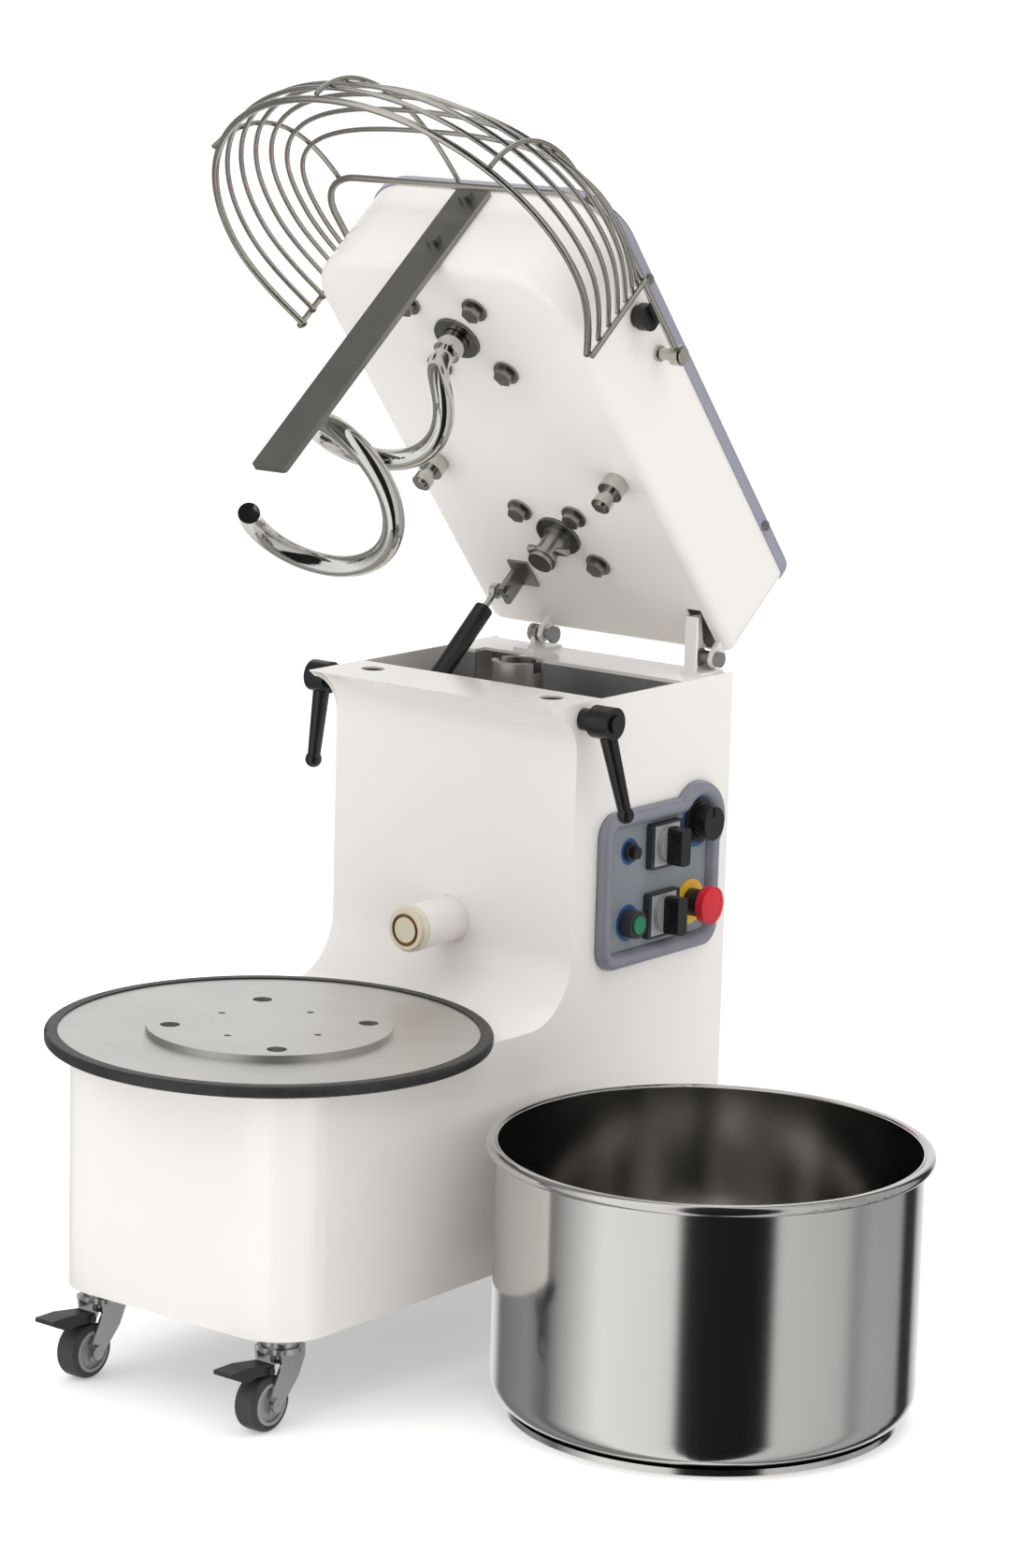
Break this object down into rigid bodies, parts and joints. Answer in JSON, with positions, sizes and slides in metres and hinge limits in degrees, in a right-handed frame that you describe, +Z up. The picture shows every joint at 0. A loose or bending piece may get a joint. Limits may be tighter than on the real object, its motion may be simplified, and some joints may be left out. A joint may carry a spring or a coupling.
{
  "type": "tilting head spiral dough mixer",
  "caption": "Tilting-head spiral dough mixer on castors: cove-fronted sheet casing, driven turntable, spiral hook, wire guard and a removable steel bowl standing beside it.",
  "frame": {"origin": "middle of the whole object's footprint at floor level, bowl on the floor beside the machine included", "axes": "+X towards the operator's right (control panel side), -Y towards the front (turntable end), +Z up; the head is drawn fully raised"},
  "size_m": [0.8024, 0.8361, 1.2268],
  "materials": {
    "white_paint": "semi-gloss powder coat",
    "grey_cover": "satin",
    "galvanised_steel": "galvanised",
    "stainless": "fine brushed",
    "stainless_bracket": "satin",
    "stainless_wire": "bright drawn wire",
    "polished_hook": "polished bar",
    "stainless_bowl": "spun and polished",
    "machined_steel": "turned",
    "chain_steel": "oiled",
    "motor_iron": "painted",
    "zinc_plate": "bright zinc",
    "zinc_pedal": "bright zinc",
    "castor_tread": "matte",
    "chrome_rod": "ground",
    "black_paint": "gloss",
    "satin_aluminium": "turned satin",
    "black_rubber": "matte",
    "white_nylon": "satin",
    "black_plastic": "moulded",
    "grey_bezel": "moulded satin",
    "blue_grey_plate": "printed film",
    "dark_escutcheon": "moulded",
    "yellow_plastic": "moulded",
    "green_plastic": "moulded",
    "red_plastic": "moulded",
    "bolt_zinc": "bright zinc"
  },
  "bodies": {
    "machine": {"base_front_wrap": "white_paint", "bottom_plate": "galvanised_steel", "bumper_nose": "white_nylon", "bumper_tube": "stainless", "cable_gland": "black_plastic", "castor_plates": "zinc_plate", "control_bezel": "grey_bezel", "control_escutcheons": "dark_escutcheon", "control_plate": "blue_grey_plate", "drive_brackets": "galvanised_steel", "drive_chains": "chain_steel", "front_skin": "white_paint", "gearmotor": "motor_iron", "hinge_brackets": "stainless_bracket", "rear_cover": "white_paint", "rear_deck": "white_paint", "shaft_bearings": "motor_iron", "side_panel_left": "white_paint", "side_panel_right": "white_paint", "stop_collar": "yellow_plastic"},
    "head": {"bearing_flanges": "motor_iron", "breaker_bar": "stainless", "guard_pivots": "stainless", "guard_stop": "black_plastic", "head_casing": "white_paint", "head_cover": "grey_cover", "head_fasteners": "bolt_zinc", "latch_pins": "stainless", "spring_bracket": "stainless_bracket"},
    "black_button": {"black_button": "black_plastic"},
    "bowl": {"bowl_foot": "stainless_bowl", "bowl_shell": "stainless_bowl"},
    "brake_pedal_front_left": {"brake_pedal_front_left": "zinc_pedal"},
    "brake_pedal_front_right": {"brake_pedal_front_right": "zinc_pedal"},
    "cam_switch_lower": {"cam_switch_lower": "black_plastic"},
    "cam_switch_upper": {"cam_switch_upper": "black_plastic"},
    "castor_swivel_front_left": {"castor_fork_front_left": "zinc_plate"},
    "castor_swivel_front_right": {"castor_fork_front_right": "zinc_plate"},
    "castor_swivel_rear_left": {"castor_fork_rear_left": "zinc_plate"},
    "castor_swivel_rear_right": {"castor_fork_rear_right": "zinc_plate"},
    "castor_wheel_front_left": {"castor_wheel_front_left": "castor_tread"},
    "castor_wheel_front_right": {"castor_wheel_front_right": "castor_tread"},
    "castor_wheel_rear_left": {"castor_wheel_rear_left": "castor_tread"},
    "castor_wheel_rear_right": {"castor_wheel_rear_right": "castor_tread"},
    "clamp_lever_left": {"clamp_lever_left": "black_plastic"},
    "clamp_lever_right": {"clamp_lever_right": "black_plastic"},
    "column_drive": {"column_shaft": "machined_steel"},
    "coupling": {"coupling_shaft": "machined_steel"},
    "gas_spring_cylinder": {"gas_spring_cylinder": "black_paint"},
    "gas_spring_rod": {"gas_spring_rod": "chrome_rod"},
    "green_button": {"green_button": "green_plastic"},
    "guard": {"guard_frame": "stainless_wire", "guard_hoops": "stainless_wire"},
    "motor_output": {"motor_sprocket": "machined_steel"},
    "hook": {"spiral_hook": "polished_hook"},
    "stop_button": {"stop_button": "red_plastic"},
    "timer_knob": {"timer_knob": "black_plastic"},
    "turntable": {"turntable_disc": "satin_aluminium", "turntable_edge": "black_rubber", "turntable_shaft": "machined_steel"}
  },
  "joints": [
    {"name": "head_tilt", "type": "hinge", "parent": "machine", "child": "head", "pos_m": [-0.1887, 0.3044, 0.648], "axis": [1, 0, 0], "range_deg": [0, 50.6]},
    {"name": "guard_pivot", "type": "hinge", "parent": "head", "child": "guard", "pos_m": [-0.1887, 0.17552, 0.96402], "axis": [1, 0, 0], "range_deg": [-95, 0]},
    {"name": "hook_spin", "type": "hinge", "parent": "head", "child": "hook", "pos_m": [-0.1887, 0.08434, 0.99783], "axis": [0, 0.7727, 0.6347], "continuous": true},
    {"name": "coupling_spin", "type": "hinge", "parent": "head", "child": "coupling", "pos_m": [-0.1887, 0.25572, 0.78919], "axis": [0, 0.7727, 0.6347], "continuous": true},
    {"name": "column_drive_spin", "type": "hinge", "parent": "machine", "child": "column_drive", "pos_m": [-0.1887, 0.1644, 0.3], "axis": [0, 0, 1], "continuous": true},
    {"name": "motor_spin", "type": "hinge", "parent": "machine", "child": "motor_output", "pos_m": [-0.1407, 0.2464, 0.54], "axis": [0, 0, 1], "continuous": true},
    {"name": "turntable_spin", "type": "hinge", "parent": "machine", "child": "turntable", "pos_m": [-0.1887, -0.2056, 0.335], "axis": [0, 0, 1], "continuous": true},
    {"name": "gas_spring_swing", "type": "hinge", "parent": "machine", "child": "gas_spring_rod", "pos_m": [-0.2867, 0.0944, 0.56], "axis": [1, 0, 0], "range_deg": [-11.67, 0]},
    {"name": "gas_spring_stroke", "type": "slide", "parent": "gas_spring_rod", "child": "gas_spring_cylinder", "axis": [0, 0.7613, 0.6484], "range_m": [-0.04753, 0]},
    {"name": "clamp_lever_left_turn", "type": "hinge", "parent": "machine", "child": "clamp_lever_left", "pos_m": [-0.3397, 0.0744, 0.618], "axis": [1, 0, 0], "range_deg": [-80, 0]},
    {"name": "clamp_lever_right_turn", "type": "hinge", "parent": "machine", "child": "clamp_lever_right", "pos_m": [-0.0377, 0.0744, 0.618], "axis": [1, 0, 0], "range_deg": [-80, 0]},
    {"name": "cam_switch_upper_turn", "type": "hinge", "parent": "machine", "child": "cam_switch_upper", "pos_m": [-0.0187, 0.2064, 0.476], "axis": [1, 0, 0], "range_deg": [-60, 60]},
    {"name": "cam_switch_lower_turn", "type": "hinge", "parent": "machine", "child": "cam_switch_lower", "pos_m": [-0.0187, 0.2044, 0.406], "axis": [1, 0, 0], "range_deg": [0, 90]},
    {"name": "timer_turn", "type": "hinge", "parent": "machine", "child": "timer_knob", "pos_m": [-0.0187, 0.2664, 0.49], "axis": [1, 0, 0], "range_deg": [0, 300]},
    {"name": "black_button_press", "type": "slide", "parent": "machine", "child": "black_button", "axis": [-1, 0, 0], "range_m": [0, 0.004], "stiffness_N_per_m": 300},
    {"name": "green_button_press", "type": "slide", "parent": "machine", "child": "green_button", "axis": [-1, 0, 0], "range_m": [0, 0.0035], "stiffness_N_per_m": 300},
    {"name": "stop_button_press", "type": "slide", "parent": "machine", "child": "stop_button", "axis": [-1, 0, 0], "range_m": [0, 0.0045]},
    {"name": "castor_swivel_front_left_turn", "type": "hinge", "parent": "machine", "child": "castor_swivel_front_left", "pos_m": [-0.3007, -0.3136, 0.06], "axis": [0, 0, 1], "continuous": true},
    {"name": "castor_wheel_front_left_roll", "type": "hinge", "parent": "castor_swivel_front_left", "child": "castor_wheel_front_left", "pos_m": [-0.3007, -0.3386, 0.027], "axis": [1, 0, 0], "continuous": true},
    {"name": "brake_pedal_front_left_press", "type": "hinge", "parent": "castor_swivel_front_left", "child": "brake_pedal_front_left", "pos_m": [-0.3007, -0.3396, 0.059], "axis": [1, 0, 0], "range_deg": [0, 12]},
    {"name": "castor_swivel_front_right_turn", "type": "hinge", "parent": "machine", "child": "castor_swivel_front_right", "pos_m": [-0.0767, -0.3136, 0.06], "axis": [0, 0, 1], "continuous": true},
    {"name": "castor_wheel_front_right_roll", "type": "hinge", "parent": "castor_swivel_front_right", "child": "castor_wheel_front_right", "pos_m": [-0.0767, -0.3386, 0.027], "axis": [1, 0, 0], "continuous": true},
    {"name": "brake_pedal_front_right_press", "type": "hinge", "parent": "castor_swivel_front_right", "child": "brake_pedal_front_right", "pos_m": [-0.0767, -0.3396, 0.059], "axis": [1, 0, 0], "range_deg": [0, 12]},
    {"name": "castor_swivel_rear_left_turn", "type": "hinge", "parent": "machine", "child": "castor_swivel_rear_left", "pos_m": [-0.3007, 0.2644, 0.06], "axis": [0, 0, 1], "continuous": true},
    {"name": "castor_wheel_rear_left_roll", "type": "hinge", "parent": "castor_swivel_rear_left", "child": "castor_wheel_rear_left", "pos_m": [-0.3007, 0.2394, 0.027], "axis": [1, 0, 0], "continuous": true},
    {"name": "castor_swivel_rear_right_turn", "type": "hinge", "parent": "machine", "child": "castor_swivel_rear_right", "pos_m": [-0.0767, 0.2644, 0.06], "axis": [0, 0, 1], "continuous": true},
    {"name": "castor_wheel_rear_right_roll", "type": "hinge", "parent": "castor_swivel_rear_right", "child": "castor_wheel_rear_right", "pos_m": [-0.0767, 0.2394, 0.027], "axis": [1, 0, 0], "continuous": true},
    {"name": "bowl_lift", "type": "slide", "parent": "machine", "child": "bowl", "axis": [0, 0, 1], "range_m": [0, 0.25]}
  ],
  "couplings": [
    {"joint": "hook_spin", "follows": "turntable_spin", "ratio": 6.5454},
    {"joint": "coupling_spin", "follows": "turntable_spin", "ratio": 6.5454},
    {"joint": "column_drive_spin", "follows": "turntable_spin", "ratio": 6.5454},
    {"joint": "motor_spin", "follows": "turntable_spin", "ratio": 13.861},
    {"joint": "gas_spring_swing", "follows": "head_tilt", "ratio": -0.22667},
    {"joint": "gas_spring_stroke", "follows": "head_tilt", "m_per_rad": -0.05325}
  ]
}
